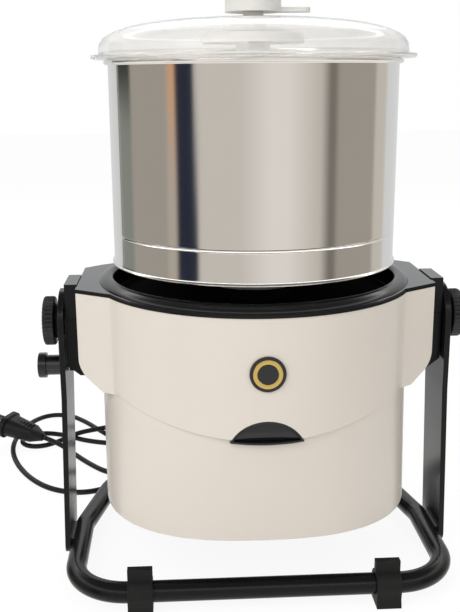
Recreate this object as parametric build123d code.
from build123d import *
import math
import os

# Tilting table-top wet grinder. Millimetres, +Z up. The origin is on the floor under the drum axis,
# -Y is the front and -X is the side of the lock plunger.
# The moulded housing with its wings and smile-shaped apron is the feature that takes the most care.

# Clearances
move_gap = 0.3              # between faces that pass each other
fit = 0.05                  # radial clearance of a shaft, pin or bush in its bore
overrun = 6.0               # how far a cutter runs past what it cuts

# Tilt axis
pivot_height = 237.7
pivot_forward = 11.0        # ahead of the drum axis

# Stand: tube ring
tube_radius = 9.5
tube_lift = 18.0            # floor to the middle of the tube
ring_half_width = 171.0
ring_front = 124.0
ring_rear = 120.0
ring_corner = 50.0
ring_bend = 60.0
ring_taper = 13.0           # degrees that each side leans in towards the rear
ring_taper_start = 4.0

# Stand: flat bar arms
arm_inner = 176.5           # half of the clear width between the arms
arm_thick = 5.0
arm_width = 60.5
arm_bend_height = 170.0     # the arms lean outwards below this height
arm_foot = 9.0
arm_corner = 12.0
weld_radius = 2.8
weld_spread = 5.4           # above and below the middle of the tube
weld_inset = 1.0
weld_margin = 3.0

# Stand: clip feet
front_foot_x = 110.0
rear_foot_x = 90.0
foot_width = 22.0
foot_depth = 27.0
foot_sole = 8.0
foot_draft = 2.0
foot_wall = 3.6
foot_tab = 7.0
foot_top = 41.0

# Tilt clamp
stud_radius = 5.0
bush_wall = 2.0
bush_flange_radius = 13.0
bush_flange = 0.7
washer_radius = 15.0
washer_thick = 0.8
knob_gap = 0.2
knob_radius = 24.0
knob_collar_radius = 17.0
knob_collar = 5.8
knob_rim = 10.6
knob_crown = 0.9
knob_edge = 1.4
knob_dish_radius = 15.0
knob_dish = 1.2
flute_count = 26
flute_radius = 2.1
flute_sink = 1.2            # depth of a flute below the rim
stud_in_knob = 9.0
insert_radius = 7.5
insert_length = 17.0
insert_inset = 2.0          # behind the bracket's outer face

# Lock plunger, on the left arm
plunger_drop = 43.7         # below the tilt axis
plunger_pin_radius = 2.6
plunger_travel = 4.7
barrel_radius = 9.5
barrel_length = 17.2
barrel_bore = 6.0
barrel_floor = 3.0
pin_collar_radius = 5.4
pin_collar = 2.0
pin_tip = 1.0
cap_radius = 12.0
cap_wall = 1.3
cap_overlap = 1.2
cap_edge = 1.5
pin_rest_gap = 0.2          # the parked pin ends this far inside the arm's inner face
lock_bush_radius = 4.5
lock_bush_length = 9.0
lock_boss_radius = 6.0

# Pivot brackets on the housing
bracket_outer = 175.5
bracket_inner = 153.0
bracket_front = 19.0        # ahead of the tilt axis
bracket_rear = 24.0
bracket_drop = 48.7         # below the tilt axis
bracket_slope_x = 164.0
bracket_slope = 9.0
ledge_rise = 5.0            # the top plate's cap starts this far above the tilt axis
bracket_top_rise = 32.0
cap_skirt = 1.6

# Housing heights, from the tilt axis
cover_top_rise = 33.8
cover_height = 203.5
cover_wall = 2.5
apron_radius = 147.0
apron_low_drop = 53.0       # the apron's flat lower edge, below the tilt axis
smile_half = 124.7
smile_sag = 18.5
cavity_step = 5.0
lower_half_width = 145.0
bottom_front = 131.0
bottom_squareness = 2.5
shoulder_front = 145.0
shoulder_squareness = 2.05
outline_steps = 32

# Housing wings
wing_x = 163.5
wing_front = 45.0
wing_rear = 50.0
wing_root_x = 110.0
wing_front_slope = 0.667
wing_rear_corner_x = 148.0
wing_rear_corner_y = 64.0
wing_rear_root_y = 87.0
wing_curve_top = 28.7       # below the tilt axis
wing_curve_mid_x = 160.3
wing_curve_mid = 39.2
wing_curve_end_x = 153.0
wing_curve_end = 46.7
wing_root_low_x = 141.0
wing_root_low = 55.5

# Half-moon switch recess and badge
moon_half = 31.3
moon_drop = 73.7            # below the tilt axis, to the chord
moon_arch = 20.0
moon_belly = 1.2
cup_fit = 0.15
cup_wall = 1.6
cup_depth = 22.0
cup_lip = 0.5               # the cup's front edge lies this far behind the apron's face
rocker_gap = 0.8
rocker_front = 4.0          # behind the apron's face
rocker_thick = 9.0
rocker_pivot_rise = 8.5     # above the chord
rocker_crown = 2.5
trunnion_radius = 1.5
trunnion_gap = 0.1
badge_rise = -12.7          # against the tilt axis
badge_radius = 15.0
badge_stand = 1.4

# Screw pillars inside the covers
pillar_radius = 5.5
pillar_rib = 2.4
pillar_upper_x = 52.0
pillar_upper_y = 98.0
pillar_upper_length = 45.0
pillar_lower_x = 124.0
pillar_lower_y = 19.0
pillar_lower_length = 28.0
screw_radius = 2.0
screw_head_radius = 4.0
screw_head = 2.4
screw_length = 12.0

# Top plate
plate_lip_radius = 147.6
plate_thick = 3.5
plate_ring_radius = 132.0   # inner edge of the raised ring
plate_ring_rise = 5.5
plate_ring_flat = 2.0
plate_lip_edge = 1.0
plate_wall = 2.5
well_depth = 13.0           # from the cover's top edge to the well's floor
turret_bore = 34.0
turret_rise = 14.0
ear_margin = 0.3
ear_cap_rise = 1.0

# Bottom cover
floor_thick = 3.0
vent_count = 7
vent_length = 46.0
vent_width = 4.0
vent_pitch = 9.0
vent_y = -86.0

# Chassis
deck_rise = 44.0            # from the cover's bottom edge to the deck's underside
deck_thick = 3.0
deck_gap = 4.0
frame_thick = 3.0
frame_width = 34.0
frame_leg_x = 138.0
frame_joggle_low = 53.7     # below the tilt axis
frame_joggle_high = 36.2
frame_top_rise = 24.0
frame_foot = 20.0

# Spindle, bearings and fixed shaft
shaft_radius = 7.0
shaft_top_rise = 33.6       # above the drum's rim
shaft_flat = 5.4
shaft_flat_length = 65.0
spindle_radius = 12.5
spindle_bore = 8.0
spindle_shoulder = 15.0
bearing_radius = 23.5
bearing_width = 12.0
bearing_groove = 0.7
bearing_ring = 3.2
tower_radius = 29.0
tower_bore = 20.0
tower_flange_radius = 48.0
tower_flange = 6.0
tower_foot_radius = 34.0
tower_height = 135.0
anchor_width = 30.0
anchor_thick = 3.0
anchor_leg_x = 80.0
anchor_drop = 38.0          # from the deck's underside to the anchor's underside
anchor_foot = 14.0
nut_flats = 19.0
nut_height = 6.0

# Belt drive
motor_y = 88.0
driven_radius = 71.5
driver_radius = 12.5
pulley_drop = 17.0          # from the deck's underside to the middle of the belt
pulley_width = 14.0
belt_height = 5.0
belt_outer_width = 8.0
belt_inner_width = 5.0
belt_sink = 0.2
pulley_web = 5.0
pulley_hub = 20.0
pulley_hub_radius = 20.0
pulley_rim_wall = 5.0
pulley_hole_count = 6
pulley_hole_radius = 10.0
pulley_hole_share = 0.62

# Motor
stator_half = 40.0
stator_corner = 9.0
stator_height = 50.0
stator_bore = 22.5
rotor_radius = 22.0
rotor_inset = 2.0
motor_shaft_radius = 5.0
bell_radius = 37.0
bell_height = 28.0
bell_wall = 3.0
bell_boss_radius = 13.0
bell_boss = 6.0
bell_vent_count = 8
bell_vent_width = 9.0
bell_vent_margin = 7.0
motor_leg_radius = 4.5
fan_radius = 33.0
fan_hub_radius = 10.0
fan_height = 10.0
fan_disc = 1.8
fan_blade_count = 9
fan_blade = 1.8
fan_lift = 3.0
motor_pulley_hub = 4.0

# Capacitor
capacitor_x = -78.0
capacitor_y = -62.0
capacitor_radius = 20.0
capacitor_height = 68.0
capacitor_edge = 2.5
capacitor_stud_radius = 4.0
capacitor_stud = 8.0

# Drum driver and drum
driver_plate_radius = 60.0
driver_plate = 4.7
driver_hub_radius = 20.0
driver_rise = 12.5          # from the cover's top edge to the plate's top face
driver_skirt_radius = 44.0
driver_skirt_wall = 2.2
driver_skirt_drop = 13.0
lug_count = 3
lug_circle = 47.0
lug_radius = 6.0
lug_height = 11.0
lug_gap = 0.4
drum_radius = 130.0
drum_wall = 1.0
drum_lift = 22.0            # from the cover's top edge to the drum's lower edge
drum_height = 178.0
drum_floor_rise = 6.5
drum_flare = 1.1
drum_flare_height = 1.6
drum_line_rise = 28.5
drum_line = 0.5
drum_line_height = 2.0
rim_radius = 2.1
coupling_outer = 58.0
coupling_inner = 31.0
stone_height = 43.5
stone_inset = 0.5
stone_bed = 0.3
stone_edge = 3.0
hub_radius = 14.0
hub_bore = 9.5
hub_height = 72.0
hub_flange_radius = 29.0
hub_flange = 4.0
hub_drop = 15.0

# Grinding rollers
roller_radius = 38.0
roller_inner = 28.0
roller_length = 77.0
roller_edge = 3.0
axle_radius = 7.0
axle_collar_radius = 10.0
axle_head_radius = 12.0
axle_head = 4.0
axle_root_radius = 5.0
axle_root = 6.0
holder_radius = 15.0
holder_below = 9.0          # below the roller axis
holder_top_drop = 3.0       # below the top of the fixed shaft
holder_grip_radius = 46.0
holder_grip_wall = 3.0
holder_grip_height = 13.0
holder_arm = 12.0
scraper_rise = 44.0         # above the roller axis
scraper_bar = 16.0
scraper_bar_thick = 6.0
scraper_collar = 4.0
scraper_blade_thick = 4.0
scraper_blade_width = 14.0
scraper_wall_gap = 3.0
scraper_floor_gap = 2.0

# Lid
lid_radius = 144.9
lid_wall = 2.0
lid_gap = 0.4               # above the drum's rim
lid_shoulder_radius = 137.5
lid_shoulder_rise = 9.5
lid_mid_radius = 78.0
lid_mid_rise = 29.5
lid_crown_radius = 24.0
lid_crown_rise = 35.0
lid_lip = 1.2
lid_locator = 6.0
lid_locator_gap = 1.2
lid_hole = 9.3
lid_knob_radius = 25.0
lid_knob_rise = 5.0         # above the lid's crown
lid_knob_height = 19.0
lid_knob_edge = 5.0
lid_lever_reach = 51.0
lid_lever_width = 15.0
lid_lever_thick = 4.0
lid_neck_radius = 9.0
lid_foot_radius = 12.5
lid_foot = 2.5

# Mains cord
cord_radius = 3.1
relief_x = -60.0
relief_y = 90.0
relief_flange_radius = 9.0
relief_flange = 2.5
relief_neck_radius = 6.5
relief_length = 18.0
relief_tip_radius = 4.4
cord_floor = 3.3            # middle of the cord where it lies on the floor
cord_over = 10.4            # middle of the cord where it crosses over itself
plug_radius = 12.0
plug_body = 34.0
plug_tail = 14.0
plug_tail_radius = 5.0
plug_flange_half = 21.0
plug_flange_rise = 13.5
plug_flange = 6.0
plug_turn = 190.0           # degrees, heading of the pins from +X
plug_pitch = 4.0
plug_rib_count = 5
plug_rib = 1.0
pin_radius = 2.5
pin_length = 15.0
earth_pin_radius = 3.4
earth_pin_length = 19.0
pin_spread = 9.5
earth_pin_rise = 8.0
pin_row_drop = 5.0

# Worked out from the sizes above
arm_outer = arm_inner + arm_thick
cover_top = pivot_height + cover_top_rise
cover_bottom = cover_top - cover_height
apron_low = pivot_height - apron_low_drop
plate_floor_top = cover_top - well_depth
plate_floor = plate_floor_top - plate_wall
deck_low = cover_bottom + deck_rise
deck_top = deck_low + deck_thick
belt_z = deck_low - pulley_drop
pulley_low = belt_z - pulley_width / 2
driver_top = cover_top + driver_rise
drum_low = cover_top + drum_lift
drum_floor = drum_low + drum_floor_rise
drum_top = drum_low + drum_height
stone_top = drum_floor + drum_wall + stone_bed + stone_height
roller_z = stone_top + move_gap + roller_radius
shaft_top = drum_top + shaft_top_rise
rim_top = drum_top + rim_radius
lid_base = rim_top + lid_gap
crown_top = lid_base + lid_crown_rise
motor_low = deck_top + motor_leg_radius


def upright(radius, low, high, bore=0.0):
    """Cylinder or tube about the drum axis."""
    section = Circle(radius)
    if bore:
        section = section - Circle(bore)
    return Pos(0, 0, low) * extrude(section, high - low)


def turned(*points):
    """Solid of revolution about the drum axis from (radius, height) points."""
    return revolve(Plane.XZ * make_face(Polyline(*points, close=True)), Axis.Z)


def from_pivot(side, x, drop=0.0):
    """Frame on the tilt axis, or below it, with its Z pointing out of that side."""
    return Pos(side * x, -pivot_forward, pivot_height - drop) * Rot(0, 90 * side, 0)


def along_x(radius, start, end, bore=0.0):
    """Cylinder or tube of its own local Z, from start to end."""
    section = Circle(radius)
    if bore:
        section = section - Circle(bore)
    return Pos(0, 0, start) * extrude(section, end - start)


def block(x_low, x_high, y_low, y_high, z_low, z_high):
    """Box from its six faces."""
    solid = Box(x_high - x_low, y_high - y_low, z_high - z_low)
    return Pos((x_low + x_high) / 2, (y_low + y_high) / 2, (z_low + z_high) / 2) * solid


def mirrored(solid, side):
    """The piece as drawn for the right side, or its mirror image for the left."""
    return solid if side > 0 else mirror(solid, about=Plane.YZ)


# Stand


def base_ring():
    rear_half = ring_half_width - (ring_rear - ring_taper_start) * math.tan(math.radians(ring_taper))
    corners = [
        (-ring_half_width, -ring_front),
        (-ring_half_width, ring_taper_start),
        (-rear_half, ring_rear),
        (rear_half, ring_rear),
        (ring_half_width, ring_taper_start),
        (ring_half_width, -ring_front),
    ]
    radii = [ring_corner, ring_bend, ring_corner, ring_corner, ring_bend, ring_corner]
    path = Pos(0, 0, tube_lift) * FilletPolyline(*corners, radius=radii, close=True)
    section = Plane(origin=path @ 0, z_dir=path % 0) * Circle(tube_radius)
    return sweep(section, path=path)


def arm(side):
    foot_inner = ring_half_width + tube_radius + fit
    lean = (foot_inner - arm_inner) / (arm_bend_height - tube_lift)
    low_inner = foot_inner + lean * (tube_lift - arm_foot)
    top = pivot_height + arm_width / 2
    band = Polyline(
        (arm_inner, top),
        (arm_inner, arm_bend_height),
        (low_inner, arm_foot),
        (low_inner + arm_thick, arm_foot),
        (arm_outer, arm_bend_height),
        (arm_outer, top),
        close=True,
    )
    bar = Pos(0, -pivot_forward, 0) * extrude(Plane.XZ * make_face(band), arm_width / 2, both=True)
    height = pivot_height - arm_foot
    side_view = Pos(0, height / 2) * Rectangle(arm_width, height)
    side_view = fillet(side_view.vertices().sort_by(Axis.Y)[:2], arm_corner)
    side_view = side_view + Pos(0, height) * Circle(arm_width / 2)
    outline = extrude(Plane.YZ * side_view, arm_outer + arm_thick)
    bar = bar & (Pos(arm_inner - arm_thick, -pivot_forward, arm_foot) * outline)
    weld_rear = ring_taper_start - ring_bend * math.tan(math.radians(ring_taper / 2))
    weld_front = -pivot_forward - arm_width / 2 + weld_margin
    tube = Pos(ring_half_width, weld_rear, tube_lift) * Rot(90, 0, 0) * Circle(tube_radius)
    for rise in (-weld_spread, weld_spread):
        bead = Pos(foot_inner - weld_inset, weld_rear, tube_lift + rise) * Rot(90, 0, 0) * Circle(weld_radius)
        bar = bar + (extrude(bead, weld_rear - weld_front) - extrude(tube, weld_rear - weld_front))
    bore = along_x(stud_radius + fit + bush_wall + fit, -overrun, arm_thick + overrun)
    bar = bar - from_pivot(1, arm_inner) * bore
    bar = mirrored(bar, side)
    if side < 0:
        hole = along_x(plunger_pin_radius + move_gap, -overrun, arm_thick + overrun)
        bar = bar - from_pivot(side, arm_inner, plunger_drop) * hole
    return bar


def clip_foot(x, y):
    sole = Polyline(
        (-foot_depth / 2, 0),
        (foot_depth / 2, 0),
        (foot_depth / 2 - foot_draft, foot_sole),
        (tube_radius + foot_wall, tube_lift),
        (-tube_radius - foot_wall, tube_lift),
        (-foot_depth / 2 + foot_draft, foot_sole),
        close=True,
    )
    shape = make_face(sole) + Pos(0, tube_lift) * Circle(tube_radius + foot_wall)
    tab_height = foot_top - tube_lift
    shape = shape + Pos(0, tube_lift + tab_height / 2) * Rectangle(foot_tab, tab_height)
    shape = shape - Pos(0, tube_lift) * Circle(tube_radius + fit)
    return Pos(x, y, 0) * extrude(Plane.YZ * shape, foot_width / 2, both=True)


def pivot_bushes():
    bore = stud_radius + fit
    solids = []
    for side in (-1, 1):
        barrel = along_x(bore + bush_wall, 0, arm_thick, bore)
        flange = along_x(bush_flange_radius, -bush_flange, 0, bore)
        solids.append(from_pivot(side, arm_inner) * (barrel + flange))
    return Compound(solids)


def pivot_washers():
    ring = along_x(washer_radius, 0, washer_thick, stud_radius + move_gap)
    return Compound([from_pivot(side, arm_outer) * ring for side in (-1, 1)])


# Tilt clamp knobs


def tilt_knob(side):
    start = washer_thick + knob_gap
    rim_start = start + knob_collar
    rim_end = rim_start + knob_rim
    rim = Circle(knob_radius) - PolarLocations(knob_radius + flute_radius - flute_sink, flute_count) * Circle(
        flute_radius
    )
    rim = Pos(0, 0, rim_start) * extrude(rim, knob_rim)
    form = turned(
        (0, rim_start),
        (knob_radius - knob_edge, rim_start),
        (knob_radius, rim_start + knob_edge),
        (knob_radius, rim_end - knob_edge),
        (knob_radius - knob_edge, rim_end),
        (0, rim_end),
    )
    rim = rim & form
    face = along_x(knob_radius - flute_sink - knob_edge, rim_end, rim_end + knob_crown, knob_dish_radius)
    boss = along_x(knob_dish_radius - knob_dish, rim_end, rim_end + knob_crown)
    collar = along_x(knob_collar_radius, start, rim_start)
    knob = rim + collar + face + boss
    knob = knob - along_x(stud_radius + fit, 0, rim_start + stud_in_knob)
    return from_pivot(side, arm_outer) * knob


def knob_stud(side):
    inner = -(arm_outer - bracket_outer) - insert_inset - insert_length
    outer = washer_thick + knob_gap + knob_collar + stud_in_knob
    stud = along_x(stud_radius, inner, outer)
    stud = chamfer(stud.edges().sort_by(Axis.Z)[0], pin_tip)
    return from_pivot(side, arm_outer) * stud


def thread_inserts():
    end = bracket_outer - insert_inset
    sleeve = along_x(insert_radius, 0, insert_length, stud_radius + fit)
    return Compound([from_pivot(side, end - insert_length) * sleeve for side in (-1, 1)])


# Lock plunger


def plunger_barrel():
    barrel = along_x(barrel_radius, 0, barrel_length, plunger_pin_radius + move_gap)
    barrel = barrel - along_x(barrel_bore, barrel_floor, barrel_length - barrel_floor)
    return from_pivot(-1, arm_outer, plunger_drop) * barrel


def plunger_knob():
    start = barrel_length - cap_overlap
    inside = barrel_length + plunger_travel + move_gap
    cap = along_x(cap_radius, start, inside + cap_wall)
    cap = fillet(cap.edges().filter_by(GeomType.CIRCLE).sort_by(Axis.Z)[-1], cap_edge - move_gap)
    cap = cap - along_x(barrel_radius + move_gap, start, inside)
    cap = cap - along_x(plunger_pin_radius + fit, inside, inside + cap_wall / 2)
    return from_pivot(-1, arm_outer, plunger_drop) * cap


def plunger_pin():
    inner = pin_rest_gap - arm_thick
    outer = barrel_length + plunger_travel + move_gap + cap_wall / 2
    pin = chamfer(along_x(plunger_pin_radius, inner, outer).edges().sort_by(Axis.Z)[0], pin_tip)
    collar_low = barrel_floor + plunger_travel + move_gap
    pin = pin + along_x(pin_collar_radius, collar_low, collar_low + pin_collar)
    return from_pivot(-1, arm_outer, plunger_drop) * pin


def lock_bush():
    sleeve = along_x(lock_bush_radius, -lock_bush_length, 0, plunger_pin_radius + move_gap)
    return from_pivot(-1, bracket_outer - knob_gap, plunger_drop) * sleeve


# Pivot brackets and inner frame


def bracket_box(grow, low, high, outer):
    """Space of a bracket on the right side, grown on every side."""
    return block(
        bracket_inner - grow,
        outer + grow,
        -pivot_forward - bracket_front - grow,
        -pivot_forward + bracket_rear + grow,
        low - grow,
        high + grow,
    )


def pivot_bracket(side):
    low = pivot_height - bracket_drop
    ledge = pivot_height + ledge_rise
    body = bracket_box(0, low, ledge, bracket_outer)
    slope = Polyline(
        (bracket_slope_x, low),
        (bracket_outer, low + bracket_slope),
        (bracket_outer + overrun, low + bracket_slope),
        (bracket_outer + overrun, low - overrun),
        (bracket_slope_x, low - overrun),
        close=True,
    )
    body = body - extrude(Plane.XZ * make_face(slope), apron_radius, both=True)
    step = cap_skirt + move_gap
    head = block(
        bracket_inner,
        bracket_outer - step,
        -pivot_forward - bracket_front + step,
        -pivot_forward + bracket_rear - step,
        ledge,
        pivot_height + bracket_top_rise,
    )
    body = body + head
    outer_face = from_pivot(1, bracket_outer)
    if side < 0:
        lock_face = from_pivot(1, bracket_outer, plunger_drop)
        body = body + lock_face * along_x(lock_boss_radius, -(bracket_outer - bracket_slope_x), 0)
        body = body - lock_face * along_x(lock_bush_radius + fit, -lock_bush_length - knob_gap, overrun)
        body = body - lock_face * along_x(plunger_pin_radius + move_gap, -(bracket_outer - bracket_slope_x), 0)
    body = body - outer_face * along_x(stud_radius + move_gap, -(bracket_outer - bracket_inner) - overrun, overrun)
    body = body - outer_face * along_x(insert_radius + fit, -insert_inset - insert_length, -insert_inset)
    return mirrored(body, side)


def side_frames():
    low = deck_top
    top = pivot_height + frame_top_rise
    joggle_low = pivot_height - frame_joggle_low
    joggle_high = pivot_height - frame_joggle_high
    leg = frame_leg_x
    band = Polyline(
        (leg - frame_foot, low),
        (leg, low),
        (leg, joggle_low),
        (bracket_inner, joggle_high),
        (bracket_inner, top),
        (bracket_inner - frame_thick, top),
        (bracket_inner - frame_thick, joggle_high + frame_thick / 2),
        (leg - frame_thick, joggle_low + frame_thick / 2),
        (leg - frame_thick, low + frame_thick),
        (leg - frame_foot, low + frame_thick),
        close=True,
    )
    strap = Pos(0, -pivot_forward, 0) * extrude(Plane.XZ * make_face(band), frame_width / 2, both=True)
    hole = along_x(stud_radius + move_gap, -frame_thick - overrun, overrun)
    strap = strap - from_pivot(1, bracket_inner) * hole
    return Compound([mirrored(strap, side) for side in (-1, 1)])


# Housing


def plan_outline(half_width, front, squareness):
    """Closed smooth outline, alike left and right, front and rear; a circle or ellipse at squareness 2."""
    points = []
    for step in range(outline_steps):
        angle = math.pi / 2 + 2 * math.pi * step / outline_steps
        across = math.copysign(abs(math.cos(angle)) ** (2 / squareness), math.cos(angle))
        along = math.copysign(abs(math.sin(angle)) ** (2 / squareness), math.sin(angle))
        points.append((half_width * across, front * along))
    return make_face(Spline(points, periodic=True))


def bottom_section(inset):
    return plan_outline(lower_half_width - inset, bottom_front - inset, bottom_squareness)


def lower_body(inset):
    """Drafted lower part of the housing, from its bottom edge to the apron."""
    shoulder = plan_outline(lower_half_width - inset, shoulder_front - inset, shoulder_squareness)
    high = apron_low + (cavity_step if inset else 0)
    return loft([Pos(0, 0, cover_bottom) * bottom_section(inset), Pos(0, 0, high) * shoulder], ruled=True)


def below_smile():
    """Everything in front of and below the apron's smile-shaped lower edge, and below it at the rear."""
    reach = apron_radius + overrun
    edge = [
        Line((-reach, apron_low), (-smile_half, apron_low)),
        ThreePointArc((-smile_half, apron_low), (0, apron_low - smile_sag), (smile_half, apron_low)),
        Line((smile_half, apron_low), (reach, apron_low)),
        Line((reach, apron_low), (reach, cover_bottom)),
        Line((reach, cover_bottom), (-reach, cover_bottom)),
        Line((-reach, cover_bottom), (-reach, apron_low)),
    ]
    front = extrude(Plane.XZ * make_face(Wire([part.edge() for part in edge])), reach)
    return front + block(-reach, reach, 0, reach, cover_bottom, apron_low)


def wing_plan():
    root_front = wing_front + wing_front_slope * (wing_x - wing_root_x)
    outline = Polyline(
        (wing_x, -wing_front),
        (wing_root_x, -root_front),
        (wing_root_x, wing_rear_root_y),
        (wing_rear_corner_x, wing_rear_corner_y),
        (wing_x, wing_rear),
        close=True,
    )
    return make_face(outline)


def wing(inset, top):
    """Right wing, drawn in by the inset."""
    high = top + inset
    edge = [
        Line((wing_root_x, high), (wing_x, high)),
        Line((wing_x, high), (wing_x, pivot_height - wing_curve_top)),
        ThreePointArc(
            (wing_x, pivot_height - wing_curve_top),
            (wing_curve_mid_x, pivot_height - wing_curve_mid),
            (wing_curve_end_x, pivot_height - wing_curve_end),
        ),
        Line(
            (wing_curve_end_x, pivot_height - wing_curve_end),
            (wing_root_low_x, pivot_height - wing_root_low),
        ),
        Line((wing_root_low_x, pivot_height - wing_root_low), (wing_root_x, pivot_height - wing_root_low)),
        Line((wing_root_x, pivot_height - wing_root_low), (wing_root_x, high)),
    ]
    front_view = make_face(Wire([part.edge() for part in edge]))
    plan = wing_plan()
    if inset:
        front_view = offset(front_view, -inset)
        plan = offset(plan, -inset)
    tall = extrude(Pos(0, 0, cover_bottom) * plan, top - cover_bottom)
    return tall & extrude(Plane.XZ * front_view, apron_radius, both=True)


def housing_form(inset):
    """Outer form of the housing, or its cavity where an inset is given."""
    top = cover_top + (overrun if inset else 0)
    if inset:
        round_part = upright(apron_radius - inset, apron_low + cavity_step, top)
    else:
        round_part = upright(apron_radius, cover_bottom, top) - below_smile()
    form = lower_body(inset) + round_part
    right = wing(inset, top)
    return form + right + mirror(right, about=Plane.YZ)


def pillar(x, y, low, high, reach):
    """Screw pillar with a rib out to the wall."""
    angle = math.degrees(math.atan2(y, x))
    rib = Rot(0, 0, angle) * block(
        math.hypot(x, y), math.hypot(x, y) + reach, -pillar_rib / 2, pillar_rib / 2, low, high
    )
    post = Pos(x, y, low) * extrude(Circle(pillar_radius), high - low)
    bore = Pos(x, y, low) * extrude(Circle(screw_radius + fit), high - low)
    return post + rib - bore


def screw_places(x, y, y_side):
    return [(-x, y_side * y), (x, y_side * y)]


def moon_outline(shrink):
    """Half-moon of the switch recess, drawn in by shrink."""
    chord = pivot_height - moon_drop
    edge = [
        ThreePointArc((-moon_half, chord), (0, chord + moon_arch), (moon_half, chord)),
        ThreePointArc((moon_half, chord), (0, chord - moon_belly), (-moon_half, chord)),
    ]
    face = make_face(Wire([part.edge() for part in edge]))
    return offset(face, -shrink, kind=Kind.INTERSECTION) if shrink else face


def moon_prism(shrink, front, rear):
    """Half-moon prism between two distances ahead of the drum axis."""
    face = Plane.XZ * moon_outline(shrink)
    return Pos(0, -rear, 0) * extrude(face, front - rear)


def cover_shell():
    shell = housing_form(0) - housing_form(cover_wall)
    opening = bracket_box(move_gap, pivot_height - bracket_drop, cover_top + overrun, bracket_outer + overrun)
    shell = shell - opening - mirror(opening, about=Plane.YZ)
    return shell


def cover_half(shell, y_side):
    reach = wing_x + overrun
    half = shell - block(
        -reach, reach, min(0, -y_side * reach), max(0, -y_side * reach), cover_bottom - overrun, cover_top + overrun
    )
    cavity = housing_form(cover_wall / 2)
    for x, y in screw_places(pillar_upper_x, pillar_upper_y, y_side):
        half = half + (pillar(x, y, plate_floor - pillar_upper_length, plate_floor, apron_radius / 2) & cavity)
    for x, y in screw_places(pillar_lower_x, pillar_lower_y, y_side):
        low = cover_bottom + floor_thick
        half = half + (pillar(x, y, low, low + pillar_lower_length, apron_radius / 2) & cavity)
    return half


def front_cover(shell):
    return cover_half(shell, -1) - moon_prism(0, apron_radius + overrun, apron_radius - cup_depth)


def rear_cover(shell):
    return cover_half(shell, 1)


def switch_cup():
    back = apron_radius - cup_depth
    cup = moon_prism(cup_fit, apron_radius + overrun, back) & upright(apron_radius - cup_lip, cover_bottom, cover_top)
    cup = cup - moon_prism(cup_fit + cup_wall, apron_radius + overrun, back + cup_wall)
    rocker_y, rocker_z, half = rocker_axis()
    pocket = Pos(0, rocker_y, rocker_z) * Rot(0, 90, 0) * Cylinder(trunnion_radius + trunnion_gap, 2 * half)
    return cup - pocket


def rocker_axis():
    """Place of the rocker's trunnions and half of their length."""
    y = -(apron_radius - rocker_front - rocker_thick / 2)
    z = pivot_height - moon_drop + rocker_pivot_rise
    arch_radius = (moon_half**2 + moon_arch**2) / (2 * moon_arch)
    rise = rocker_pivot_rise - (moon_arch - arch_radius)
    return y, z, math.sqrt(arch_radius**2 - rise**2) - cup_fit - cup_wall - trunnion_gap


def rocker_switch():
    front = apron_radius - rocker_front
    rocker = moon_prism(cup_fit + cup_wall + rocker_gap, front, front - rocker_thick)
    y, z, half = rocker_axis()
    crown_radius = (moon_arch**2 / 4 + rocker_crown**2) / (2 * rocker_crown)
    crown = Pos(0, -(front - crown_radius), z) * Rot(0, 90, 0) * Cylinder(crown_radius, 2 * moon_half)
    rocker = rocker & (crown + block(-moon_half, moon_half, -front + rocker_thick / 2, 0, 0, cover_top))
    return rocker + Pos(0, y, z) * Rot(0, 90, 0) * Cylinder(trunnion_radius, 2 * half - 2 * trunnion_gap)


def badge():
    disc = Plane.XZ * Pos(0, pivot_height + badge_rise) * Circle(badge_radius)
    disc = Pos(0, -apron_radius + badge_stand, 0) * extrude(disc, 2 * badge_stand)
    return disc - upright(apron_radius, apron_low, cover_top)


def ear_plan():
    """Flat outline of the top plate's right ear."""
    return offset(wing_plan(), ear_margin, kind=Kind.INTERSECTION)


def top_plate():
    low = cover_top
    high = cover_top + plate_thick
    ring_top = cover_top + plate_ring_rise
    inner_wall = plate_ring_radius + plate_wall
    body = turned(
        (turret_bore, plate_floor),
        (turret_bore, plate_floor + turret_rise),
        (turret_bore + plate_wall, plate_floor + turret_rise),
        (turret_bore + plate_wall, plate_floor_top),
        (plate_ring_radius - plate_wall, plate_floor_top),
        (plate_ring_radius, plate_floor_top + plate_wall),
        (plate_ring_radius, ring_top - plate_lip_edge),
        (plate_ring_radius + plate_lip_edge, ring_top),
        (plate_ring_radius + plate_lip_edge + plate_ring_flat, ring_top),
        (plate_lip_radius - plate_lip_edge, high),
        (plate_lip_radius, high - plate_lip_edge),
        (plate_lip_radius, low),
        (inner_wall, low),
        (inner_wall, plate_floor),
    )
    ear = extrude(Pos(0, 0, low) * ear_plan(), plate_thick)
    ledge = pivot_height + ledge_rise + move_gap
    cap_inner_x = wing_x + ear_margin
    cap = block(
        cap_inner_x,
        bracket_outer,
        -pivot_forward - bracket_front,
        -pivot_forward + bracket_rear,
        ledge,
        high + ear_cap_rise,
    )
    step = cap_skirt
    room = block(
        cap_inner_x - overrun,
        bracket_outer - step,
        -pivot_forward - bracket_front + step,
        -pivot_forward + bracket_rear - step,
        ledge - overrun,
        pivot_height + bracket_top_rise + move_gap,
    )
    ear = ear + (cap - room)
    ear = ear - upright(plate_ring_radius + plate_lip_edge, low - overrun, high + overrun)
    body = body + ear + mirror(ear, about=Plane.YZ)
    for side in (-1, 1):
        for x, y in screw_places(pillar_upper_x, pillar_upper_y, side):
            body = body + Pos(x, y, plate_floor_top) * extrude(Circle(pillar_radius), plate_wall)
            body = body - Pos(x, y, plate_floor) * extrude(Circle(screw_radius + move_gap), 2 * overrun)
    return body


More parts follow.
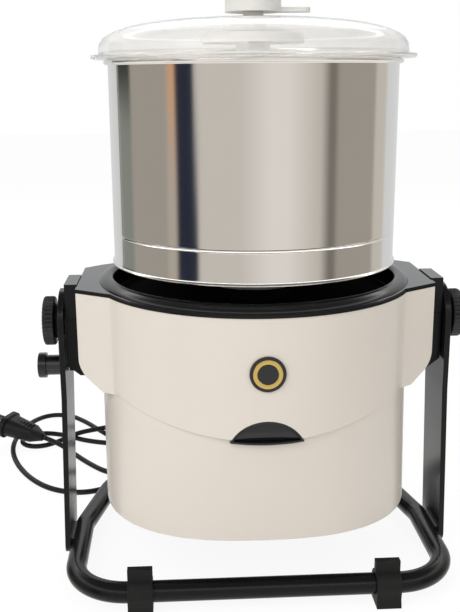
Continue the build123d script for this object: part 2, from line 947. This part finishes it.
def bottom_cover():
    gap = cover_wall + move_gap
    plate = Pos(0, 0, cover_bottom) * extrude(bottom_section(gap), floor_thick)
    slots = GridLocations(vent_pitch, 0, vent_count, 1)
    vents = Sketch() + slots * SlotOverall(vent_length, vent_width, 90)
    plate = plate - Pos(0, vent_y, cover_bottom) * extrude(vents, floor_thick)
    plate = plate - Pos(relief_x, relief_y, cover_bottom) * extrude(Circle(relief_neck_radius + fit), floor_thick)
    for side in (-1, 1):
        for x, y in screw_places(pillar_lower_x, pillar_lower_y, side):
            plate = plate - Pos(x, y, cover_bottom) * extrude(Circle(screw_radius + move_gap), floor_thick)
    return plate


def cover_screws():
    shank = along_x(screw_radius, -screw_length, 0)
    head = along_x(screw_head_radius, 0, screw_head)
    screw = shank + head
    solids = []
    for side in (-1, 1):
        for x, y in screw_places(pillar_upper_x, pillar_upper_y, side):
            solids.append(Pos(x, y, plate_floor_top + plate_wall) * screw)
        for x, y in screw_places(pillar_lower_x, pillar_lower_y, side):
            solids.append(Pos(x, y, cover_bottom) * Rot(180, 0, 0) * screw)
    return Compound(solids)


# Chassis, spindle and fixed shaft


def chassis_deck():
    slab = upright(2 * apron_radius, deck_low, deck_top)
    deck = lower_body(cover_wall + deck_gap) & slab
    deck = deck - upright(bearing_radius - bearing_ring, deck_low, deck_top)
    deck = deck - Pos(0, motor_y, deck_low) * extrude(Circle(bell_boss_radius), deck_thick)
    stud_hole = Circle(capacitor_stud_radius + fit)
    return deck - Pos(capacitor_x, capacitor_y, deck_low) * extrude(stud_hole, deck_thick)


def bearing_housing():
    top = deck_top + tower_height
    seat = bearing_radius + fit
    return turned(
        (seat, deck_top),
        (tower_flange_radius, deck_top),
        (tower_flange_radius, deck_top + tower_flange),
        (tower_foot_radius, deck_top + tower_flange),
        (tower_radius, deck_top + bearing_width + tower_foot_radius),
        (tower_radius, top),
        (seat, top),
        (seat, top - bearing_width),
        (tower_bore, top - bearing_width),
        (tower_bore, deck_top + bearing_width),
        (seat, deck_top + bearing_width),
    )


def spindle_bearings():
    bore = spindle_radius + fit
    solids = []
    for low in (deck_top, deck_top + tower_height - bearing_width):
        ring = upright(bearing_radius, low, low + bearing_width, bore)
        groove = upright(
            bearing_radius - bearing_ring, low + bearing_width - bearing_groove, low + bearing_width,
            bore + bearing_ring,
        )
        foot_groove = upright(bearing_radius - bearing_ring, low, low + bearing_groove, bore + bearing_ring)
        solids.append(ring - groove - foot_groove)
    return Compound(solids)


def spindle():
    low = belt_z - pulley_hub / 2
    top = driver_top - driver_plate
    shoulder_low = belt_z + pulley_hub / 2
    shoulder_high = deck_top - move_gap
    return turned(
        (spindle_bore, low),
        (spindle_radius, low),
        (spindle_radius, shoulder_low),
        (spindle_shoulder, shoulder_low),
        (spindle_shoulder, shoulder_high),
        (spindle_radius, shoulder_high),
        (spindle_radius, top),
        (spindle_bore, top),
    )


def centre_shaft():
    low = deck_low - anchor_drop
    shaft = upright(shaft_radius, low, shaft_top)
    flat = block(
        -apron_radius, apron_radius, shaft_flat, shaft_flat + overrun, shaft_top - shaft_flat_length,
        shaft_top + overrun,
    )
    shaft = shaft - flat - mirror(flat, about=Plane.XZ)
    return chamfer(shaft.edges().sort_by(Axis.Z)[:1], pin_tip)


def shaft_anchor():
    low = deck_low - anchor_drop
    leg = anchor_leg_x
    band = Polyline(
        (-leg - anchor_foot, deck_low),
        (-leg, deck_low),
        (-leg, low + anchor_thick),
        (leg, low + anchor_thick),
        (leg, deck_low),
        (leg + anchor_foot, deck_low),
        (leg + anchor_foot, deck_low - anchor_thick),
        (leg + anchor_thick, deck_low - anchor_thick),
        (leg + anchor_thick, low),
        (-leg - anchor_thick, low),
        (-leg - anchor_thick, deck_low - anchor_thick),
        (-leg - anchor_foot, deck_low - anchor_thick),
        close=True,
    )
    strap = extrude(Plane.XZ * make_face(band), anchor_width / 2, both=True)
    nut = Pos(0, 0, low + anchor_thick) * extrude(RegularPolygon(nut_flats / 2, 6, major_radius=False), nut_height)
    return strap + nut - upright(shaft_radius + fit, low - overrun, low + 2 * nut_height + anchor_thick)


# Belt drive


def pulley(rim, hub, hub_width, bore, width):
    """Grooved pulley about its own axis, with the middle of its groove at zero."""
    half = width / 2
    bottom = rim - belt_sink - belt_height - move_gap
    narrow = belt_inner_width / 2 + move_gap
    wide = belt_outer_width / 2 + move_gap + belt_sink
    groove = [(rim, -wide), (bottom, -narrow), (bottom, narrow), (rim, wide)]
    body = turned((bore, -half), (rim, -half), *groove, (rim, half), (bore, half))
    return body + along_x(hub, -hub_width, half, bore)


def driven_pulley():
    half = pulley_width / 2
    body = pulley(driven_radius, pulley_hub_radius, pulley_hub / 2, spindle_radius + fit, pulley_width)
    body = body + along_x(pulley_hub_radius, half, pulley_hub / 2 - move_gap, spindle_radius + fit)
    inner = driven_radius - belt_height - belt_sink - move_gap - pulley_rim_wall
    for low, high in ((pulley_web / 2, half), (-half, -pulley_web / 2)):
        body = body - along_x(inner, low, high, pulley_hub_radius)
    holes = Sketch() + PolarLocations(driven_radius * pulley_hole_share, pulley_hole_count) * Circle(
        pulley_hole_radius
    )
    body = body - Pos(0, 0, -pulley_width) * extrude(holes, 2 * pulley_width)
    return Pos(0, 0, belt_z) * body


def motor_pulley():
    half = pulley_width / 2
    hub = driver_radius - belt_height - belt_sink - move_gap
    body = pulley(driver_radius, hub, half, motor_shaft_radius + fit, pulley_width)
    return Pos(0, motor_y, belt_z) * body


def drive_belt():
    big = driven_radius - belt_sink - belt_height / 2
    small = driver_radius - belt_sink - belt_height / 2
    lean = math.asin((big - small) / motor_y)
    side = (math.cos(lean), math.sin(lean))
    big_right = (big * side[0], big * side[1])
    small_right = (small * side[0], motor_y + small * side[1])
    loop = [
        ThreePointArc((-big_right[0], big_right[1]), (0, -big), big_right),
        Line(big_right, small_right),
        ThreePointArc(small_right, (0, motor_y + small), (-small_right[0], small_right[1])),
        Line((-small_right[0], small_right[1]), (-big_right[0], big_right[1])),
    ]
    path = Pos(0, 0, belt_z) * Wire([part.edge() for part in loop])
    start = Plane(origin=(0, -big, belt_z), x_dir=(0, -1, 0), z_dir=(1, 0, 0))
    half = belt_height / 2
    section = Polyline(
        (-half, -belt_inner_width / 2),
        (half, -belt_outer_width / 2),
        (half, belt_outer_width / 2),
        (-half, belt_inner_width / 2),
        close=True,
    )
    bottom = ThreePointArc((0, -big), (big * math.sin(lean), -big * math.cos(lean)), big_right)
    back = ThreePointArc((-big_right[0], big_right[1]), (-big * math.sin(lean), -big * math.cos(lean)), (0, -big))
    path = Pos(0, 0, belt_z) * Wire([part.edge() for part in [bottom, *loop[1:], back]])
    return sweep(start * make_face(section), path=path)


# Motor and capacitor


def motor_stator():
    low = motor_low + bell_height
    core = RectangleRounded(2 * stator_half, 2 * stator_half, stator_corner) - Circle(stator_bore)
    return Pos(0, motor_y, low) * extrude(core, stator_height)


def bell(vent_low):
    """End bell of the motor: open towards the stator at zero, closed at its own height."""
    top = bell_height
    cup = along_x(bell_radius, 0, top) - along_x(bell_radius - bell_wall, 0, top - bell_wall)
    cup = cup + along_x(bell_boss_radius, top - bell_wall - bell_boss, top)
    slot = block(
        0, bell_radius + overrun, -bell_vent_width / 2, bell_vent_width / 2, vent_low, top - bell_vent_margin
    )
    cup = cup - along_x(motor_shaft_radius + fit, 0, top)
    for spot in PolarLocations(0, bell_vent_count):
        cup = cup - (spot * slot - along_x(bell_boss_radius, 0, top))
    return cup


def motor_end_bells():
    upper_z = motor_low + bell_height + stator_height
    upper = Pos(0, motor_y, upper_z) * bell(bell_vent_margin)
    lower = Pos(0, motor_y, motor_low + bell_height) * Rot(180, 0, 0) * bell(bell_vent_margin)
    reach = bell_radius - motor_leg_radius - bell_wall / 2
    for spot in PolarLocations(reach, 4, start_angle=45):
        lower = lower + Pos(0, motor_y, deck_top) * spot * along_x(motor_leg_radius, 0, motor_leg_radius)
    return Compound([upper, lower])


def motor_rotor():
    core_low = motor_low + bell_height + rotor_inset
    core_high = core_low + stator_height - 2 * rotor_inset
    shaft_low = belt_z - pulley_width / 2
    shaft_high = motor_low + 2 * bell_height + stator_height + fan_lift + fan_height
    shaft = along_x(motor_shaft_radius, shaft_low, shaft_high)
    return Pos(0, motor_y, 0) * (shaft + along_x(rotor_radius, core_low, core_high))


def motor_fan():
    low = motor_low + 2 * bell_height + stator_height + fan_lift
    bore = motor_shaft_radius + fit
    fan = along_x(fan_radius, 0, fan_disc, bore) + along_x(fan_hub_radius, 0, fan_height, bore)
    blade = block(
        fan_hub_radius - fan_blade, fan_radius, -fan_blade / 2, fan_blade / 2, 0, fan_height - fan_disc
    )
    for spot in PolarLocations(0, fan_blade_count):
        fan = fan + spot * blade
    return Pos(0, motor_y, low) * fan


def capacitor():
    can = along_x(capacitor_radius, 0, capacitor_height)
    can = fillet(can.edges().filter_by(GeomType.CIRCLE), capacitor_edge)
    stud = along_x(capacitor_stud_radius, -capacitor_stud, capacitor_edge)
    return Pos(capacitor_x, capacitor_y, deck_top) * (can + stud)


# Drum


def drum_driver():
    plate_low = driver_top - driver_plate
    bore = spindle_radius + fit
    skirt_low = driver_top - driver_skirt_drop
    hub_low = deck_top + tower_height + move_gap
    body = turned(
        (bore, hub_low),
        (driver_hub_radius, hub_low),
        (driver_hub_radius, plate_low),
        (driver_skirt_radius - driver_skirt_wall, plate_low),
        (driver_skirt_radius - driver_skirt_wall, skirt_low),
        (driver_skirt_radius, skirt_low),
        (driver_skirt_radius, plate_low),
        (driver_plate_radius, plate_low),
        (driver_plate_radius, driver_top),
        (spindle_bore, driver_top),
        (spindle_bore, plate_low),
        (bore, plate_low),
    )
    for spot in PolarLocations(lug_circle, lug_count):
        body = body + Pos(0, 0, driver_top) * spot * along_x(lug_radius, 0, lug_height)
    return body


def drum_shell():
    outer = drum_radius
    inner = drum_radius - drum_wall
    line = drum_low + drum_line_rise
    floor_bore = hub_radius + fit
    body = turned(
        (floor_bore, drum_floor),
        (inner, drum_floor),
        (inner, drum_low),
        (outer + drum_flare, drum_low),
        (outer + drum_flare, drum_low + drum_flare_height / 2),
        (outer, drum_low + drum_flare_height),
        (outer, line),
        (outer - drum_line, line + drum_line_height / 2),
        (outer, line + drum_line_height),
        (outer, drum_top),
        (inner, drum_top),
        (inner, drum_floor + drum_wall),
        (floor_bore, drum_floor + drum_wall),
    )
    bead = Plane.XZ * Pos(outer + rim_radius - drum_wall / 2, drum_top) * Circle(rim_radius)
    return body + revolve(bead, Axis.Z)


def drum_hub():
    """Coupling ring under the drum with its hub tube up through the stone."""
    low = driver_top + move_gap
    tube = upright(hub_radius, drum_floor - hub_drop + hub_flange, drum_floor + hub_height, hub_bore)
    flange = upright(coupling_outer, drum_floor - hub_flange, drum_floor, hub_bore)
    ring = upright(coupling_outer, low, drum_floor, coupling_inner)
    for spot in PolarLocations(lug_circle, lug_count):
        ring = ring - Pos(0, 0, low) * spot * along_x(lug_radius + lug_gap, 0, lug_height)
    return ring + flange - upright(hub_radius, low, drum_floor - hub_drop) + tube


def base_stone():
    low = drum_floor + drum_wall + stone_bed
    outer = drum_radius - drum_wall - stone_inset
    inner = hub_radius + stone_inset
    return turned(
        (inner, low),
        (outer, low),
        (outer, stone_top),
        (inner + stone_edge, stone_top),
        (inner, stone_top - stone_edge),
    )


# Grinding set


def roller_holder():
    low = roller_z - holder_below
    top = shaft_top - holder_top_drop
    grip_low = top - holder_grip_height
    hub = upright(holder_radius, low, top)
    ring = upright(holder_grip_radius, grip_low, top, holder_grip_radius - holder_grip_wall)
    spokes = block(
        -holder_grip_radius + holder_grip_wall / 2, holder_grip_radius - holder_grip_wall / 2,
        -holder_arm / 2, holder_arm / 2, grip_low, top,
    )
    hub = hub + ring + spokes + Rot(0, 0, 90) * spokes
    flat_low = shaft_top - shaft_flat_length + overrun
    bore = upright(shaft_radius + fit, low, flat_low)
    keyed = upright(shaft_radius + fit, flat_low, top) & block(
        -holder_radius, holder_radius, -shaft_flat - fit, shaft_flat + fit, flat_low, top
    )
    hub = hub - bore - keyed
    for side in (-1, 1):
        socket = Pos(0, 0, roller_z) * Rot(0, 90 * side, 0) * along_x(
            axle_root_radius + fit, holder_radius - axle_root, holder_radius + overrun
        )
        hub = hub - socket
    return hub


def roller_axles():
    root = holder_radius - axle_root
    inner = roller_inner - move_gap
    outer = roller_inner + roller_length + move_gap
    axle = turned(
        (0, root),
        (axle_root_radius, root),
        (axle_root_radius, holder_radius),
        (axle_collar_radius, holder_radius),
        (axle_collar_radius, inner),
        (axle_radius, inner),
        (axle_radius, outer),
        (axle_head_radius, outer),
        (axle_head_radius, outer + axle_head),
        (0, outer + axle_head),
    )
    return Compound([Pos(0, 0, roller_z) * Rot(0, 90 * side, 0) * axle for side in (-1, 1)])


def roller(side):
    stone = along_x(roller_radius, roller_inner, roller_inner + roller_length)
    stone = chamfer(stone.edges().filter_by(GeomType.CIRCLE), roller_edge)
    stone = stone - along_x(axle_radius + 2 * fit, roller_inner, roller_inner + roller_length)
    return Pos(0, 0, roller_z) * Rot(0, 90 * side, 0) * stone


def scraper():
    mid = roller_z + scraper_rise
    outer = drum_radius - drum_wall - scraper_wall_gap
    collar = upright(
        holder_radius + fit + scraper_collar, mid - scraper_bar / 2, mid + scraper_bar / 2, holder_radius + fit
    )
    bar = block(
        -scraper_bar_thick / 2, scraper_bar_thick / 2, holder_radius + scraper_collar / 2, outer - overrun / 2,
        mid - scraper_bar / 2, mid + scraper_bar / 2,
    )
    blade = block(
        -scraper_blade_thick / 2, scraper_blade_thick / 2, outer - scraper_blade_width, outer - overrun / 2,
        stone_top + scraper_floor_gap, mid + scraper_bar / 2,
    )
    return collar + bar + blade


# Lid


def lid():
    flange_top = lid_base + lid_wall
    shoulder = (lid_shoulder_radius, lid_base + lid_shoulder_rise)
    middle = (lid_mid_radius, lid_base + lid_mid_rise)
    crown = (lid_crown_radius, crown_top)
    outer_edge = [
        Line((lid_hole, crown_top - lid_wall), (lid_hole, crown_top)),
        Line((lid_hole, crown_top), crown),
        ThreePointArc(crown, middle, shoulder),
        Line(shoulder, (lid_shoulder_radius + lid_wall / 2, flange_top)),
        Line((lid_shoulder_radius + lid_wall / 2, flange_top), (lid_radius - lid_wall, flange_top)),
        Line((lid_radius - lid_wall, flange_top), (lid_radius, flange_top + lid_lip)),
        Line((lid_radius, flange_top + lid_lip), (lid_radius, lid_base + lid_lip / 2)),
        Line((lid_radius, lid_base + lid_lip / 2), (lid_radius - lid_wall, lid_base)),
        Line((lid_radius - lid_wall, lid_base), (lid_shoulder_radius - lid_wall, lid_base)),
    ]
    inner_shoulder = (lid_shoulder_radius - lid_wall, lid_base + lid_shoulder_rise - lid_wall / 2)
    inner_middle = (lid_mid_radius, lid_base + lid_mid_rise - lid_wall)
    inner_crown = (lid_crown_radius, crown_top - lid_wall)
    inner_edge = [
        Line((lid_shoulder_radius - lid_wall, lid_base), inner_shoulder),
        ThreePointArc(inner_shoulder, inner_middle, inner_crown),
        Line(inner_crown, (lid_hole, crown_top - lid_wall)),
    ]
    section = make_face(Wire([part.edge() for part in outer_edge + inner_edge]))
    dome = revolve(Plane.XZ * section, Axis.Z)
    locator = drum_radius - drum_wall - lid_locator_gap
    seat = turned(
        (locator - lid_wall, lid_base - lid_locator),
        (locator, lid_base - lid_locator),
        (locator, lid_base),
        (lid_shoulder_radius, lid_base),
        (lid_shoulder_radius, lid_base + lid_wall),
        (locator - lid_wall, lid_base + lid_wall),
    )
    return dome + seat


def lid_knob():
    low = crown_top + lid_knob_rise
    top = low + lid_knob_height
    form = along_x(lid_knob_radius, low, top)
    form = fillet(form.edges().filter_by(GeomType.CIRCLE).sort_by(Axis.Z)[-1], lid_knob_edge)
    lever = block(0, lid_lever_reach, -lid_lever_width / 2, lid_lever_width / 2, low, low + lid_lever_thick)
    lever = fillet(lever.edges().filter_by(Axis.Z).sort_by(Axis.X)[-2:], lid_lever_width / 2 - fit)
    foot_top = crown_top - lid_wall - move_gap
    foot_low = foot_top - lid_foot
    neck = along_x(lid_neck_radius, foot_low, low) + along_x(lid_foot_radius, foot_low, foot_top)
    bore = along_x(shaft_radius + move_gap, foot_low, shaft_top + overrun / 2)
    return form + lever + neck - bore


# Cord and plug


def cord_route():
    """The cord's points, from the strain relief under the housing to the plug."""
    f, over = cord_floor, cord_over
    return [
        (-60, 90, 50.0),
        (-60, 90, 31),
        (-68, 91, 14),
        (-83, 93, 4.6),
        (-102, 96, f),
        (-121, 103, f),
        (-137, 115, f),
        (-156, 120, f),
        (-178, 109, f),
        (-203, 111, f),
        (-229, 126, f),
        (-254, 157, f),
        (-275, 199, f),
        (-287, 243, f),
        (-287, 288, f),
        (-277, 332, f),
        (-255, 358, f),
        (-226, 354, f),
        (-203, 329, f),
        (-183, 299, f),
        (-162, 268, f),
        (-140, 246, f),
        (-114, 247, f),
        (-100, 268, f),
        (-110, 291, f),
        (-136, 300, 6),
        (-160, 292, over),
        (-183, 282, over),
        (-208, 270, over),
        (-233, 257, 5),
        (-252, 250, f),
        (-268, 256, f),
        (-273, 272, f),
        (-262, 285, f),
        (-244, 283, f),
        (-222, 275, f),
        (-197, 262, f),
        (-172, 252, f),
        (-145, 246, f + 0.2),
        (-123, 229, f + 0.2),
        (-112, 203, f + 0.2),
        (-116, 175, f + 0.2),
        (-138, 155, f + 0.2),
        (-161, 161, f),
        (-183, 186, f),
        (-205, 214, 5),
        (-226, 234, 12),
        (-247, 243, 17),
    ]


def cord_radii(points):
    """The largest arc that each corner's two runs allow."""
    radii = []
    for before, here, after in zip(points, points[1:], points[2:]):
        first = Vector(*here) - Vector(*before)
        second = Vector(*after) - Vector(*here)
        turn = math.radians(first.get_angle(second))
        radii.append(0.45 * min(first.length, second.length) / math.tan(turn / 2))
    return radii


def mains_cord():
    points = cord_route()
    radii = cord_radii(points)
    path = FilletPolyline(*points, radius=radii)
    section = Plane(origin=path @ 0, z_dir=path % 0) * Circle(cord_radius)
    tube = sweep(section, path=path)
    share = tube.volume / (math.pi * cord_radius**2 * path.length)
    print("cord radii", [round(radius) for radius in radii])
    print("cord length", round(path.length), "volume share", round(share, 4))
    return tube


def strain_relief():
    neck_top = cover_bottom + floor_thick
    shape = turned(
        (0, neck_top + relief_flange),
        (relief_flange_radius, neck_top + relief_flange),
        (relief_flange_radius, neck_top),
        (relief_neck_radius, neck_top),
        (relief_neck_radius, cover_bottom),
        (relief_tip_radius, cover_bottom - relief_length),
        (0, cover_bottom - relief_length),
    )
    return Pos(relief_x, relief_y, 0) * shape


def plug_place():
    """Frame at the end of the cord, with Z pointing from the cord to the pins."""
    points = cord_route()
    last, before = Vector(*points[-1]), Vector(*points[-2])
    return Plane(origin=last, z_dir=last - before, x_dir=(0, 0, 1))


def plug():
    tail = Plane.XY * Circle(plug_tail_radius)
    shoulder = Pos(0, 0, plug_tail) * RectangleRounded(1.5 * plug_radius, 2 * plug_radius, plug_radius / 2)
    front = Pos(0, 0, plug_tail + plug_body) * RectangleRounded(
        2 * plug_radius, 3 * plug_radius, plug_radius - fit
    )
    body = loft([tail, shoulder]) + loft([shoulder, front], ruled=True)
    face = Pos(0, 0, plug_tail + plug_body) * RectangleRounded(
        2 * plug_flange_rise, 2 * plug_flange_half, plug_radius
    )
    body = body + extrude(face, plug_flange)
    return plug_place() * body


def plug_pins():
    base = plug_tail + plug_body + plug_flange
    line = along_x(pin_radius, base, base + pin_length)
    earth = along_x(earth_pin_radius, base, base + earth_pin_length)
    pins = [Pos(-pin_row_drop, side * pin_spread, 0) * line for side in (-1, 1)]
    pins.append(Pos(earth_pin_rise - pin_row_drop / 2, 0, 0) * earth)
    return plug_place() * Compound(pins)


def build():
    """Every sub-part by the name of its node."""
    shell = cover_shell()
    nodes = {"base_ring": base_ring()}
    for side, name in ((-1, "left"), (1, "right")):
        nodes[f"{name}_arm"] = arm(side)
        nodes[f"front_{name}_foot"] = clip_foot(side * front_foot_x, -ring_front)
        nodes[f"rear_{name}_foot"] = clip_foot(side * rear_foot_x, ring_rear)
        nodes[f"{name}_tilt_knob"] = tilt_knob(side)
        nodes[f"{name}_knob_stud"] = knob_stud(side)
        nodes[f"{name}_pivot_bracket"] = pivot_bracket(side)
        nodes[f"{name}_roller"] = roller(side)
    nodes.update(
        pivot_bushes=pivot_bushes(),
        pivot_washers=pivot_washers(),
        thread_inserts=thread_inserts(),
        plunger_barrel=plunger_barrel(),
        plunger_knob=plunger_knob(),
        plunger_pin=plunger_pin(),
        lock_bush=lock_bush(),
        side_frames=side_frames(),
        front_cover=front_cover(shell),
        rear_cover=rear_cover(shell),
        switch_cup=switch_cup(),
        rocker_switch=rocker_switch(),
        badge=badge(),
        top_plate=top_plate(),
        bottom_cover=bottom_cover(),
        cover_screws=cover_screws(),
        chassis_deck=chassis_deck(),
        bearing_housing=bearing_housing(),
        spindle_bearings=spindle_bearings(),
        spindle=spindle(),
        centre_shaft=centre_shaft(),
        shaft_anchor=shaft_anchor(),
        driven_pulley=driven_pulley(),
        motor_pulley=motor_pulley(),
        drive_belt=drive_belt(),
        motor_stator=motor_stator(),
        motor_end_bells=motor_end_bells(),
        motor_rotor=motor_rotor(),
        motor_fan=motor_fan(),
        capacitor=capacitor(),
        drum_driver=drum_driver(),
        drum_shell=drum_shell(),
        drum_hub=drum_hub(),
        base_stone=base_stone(),
        roller_holder=roller_holder(),
        roller_axles=roller_axles(),
        scraper=scraper(),
        lid=lid(),
        lid_knob=lid_knob(),
        mains_cord=mains_cord(),
        strain_relief=strain_relief(),
        plug=plug(),
        plug_pins=plug_pins(),
    )
    return nodes


os.makedirs("parts", exist_ok=True)
for node, solid in build().items():
    export_step(solid, f"parts/{node}.step")
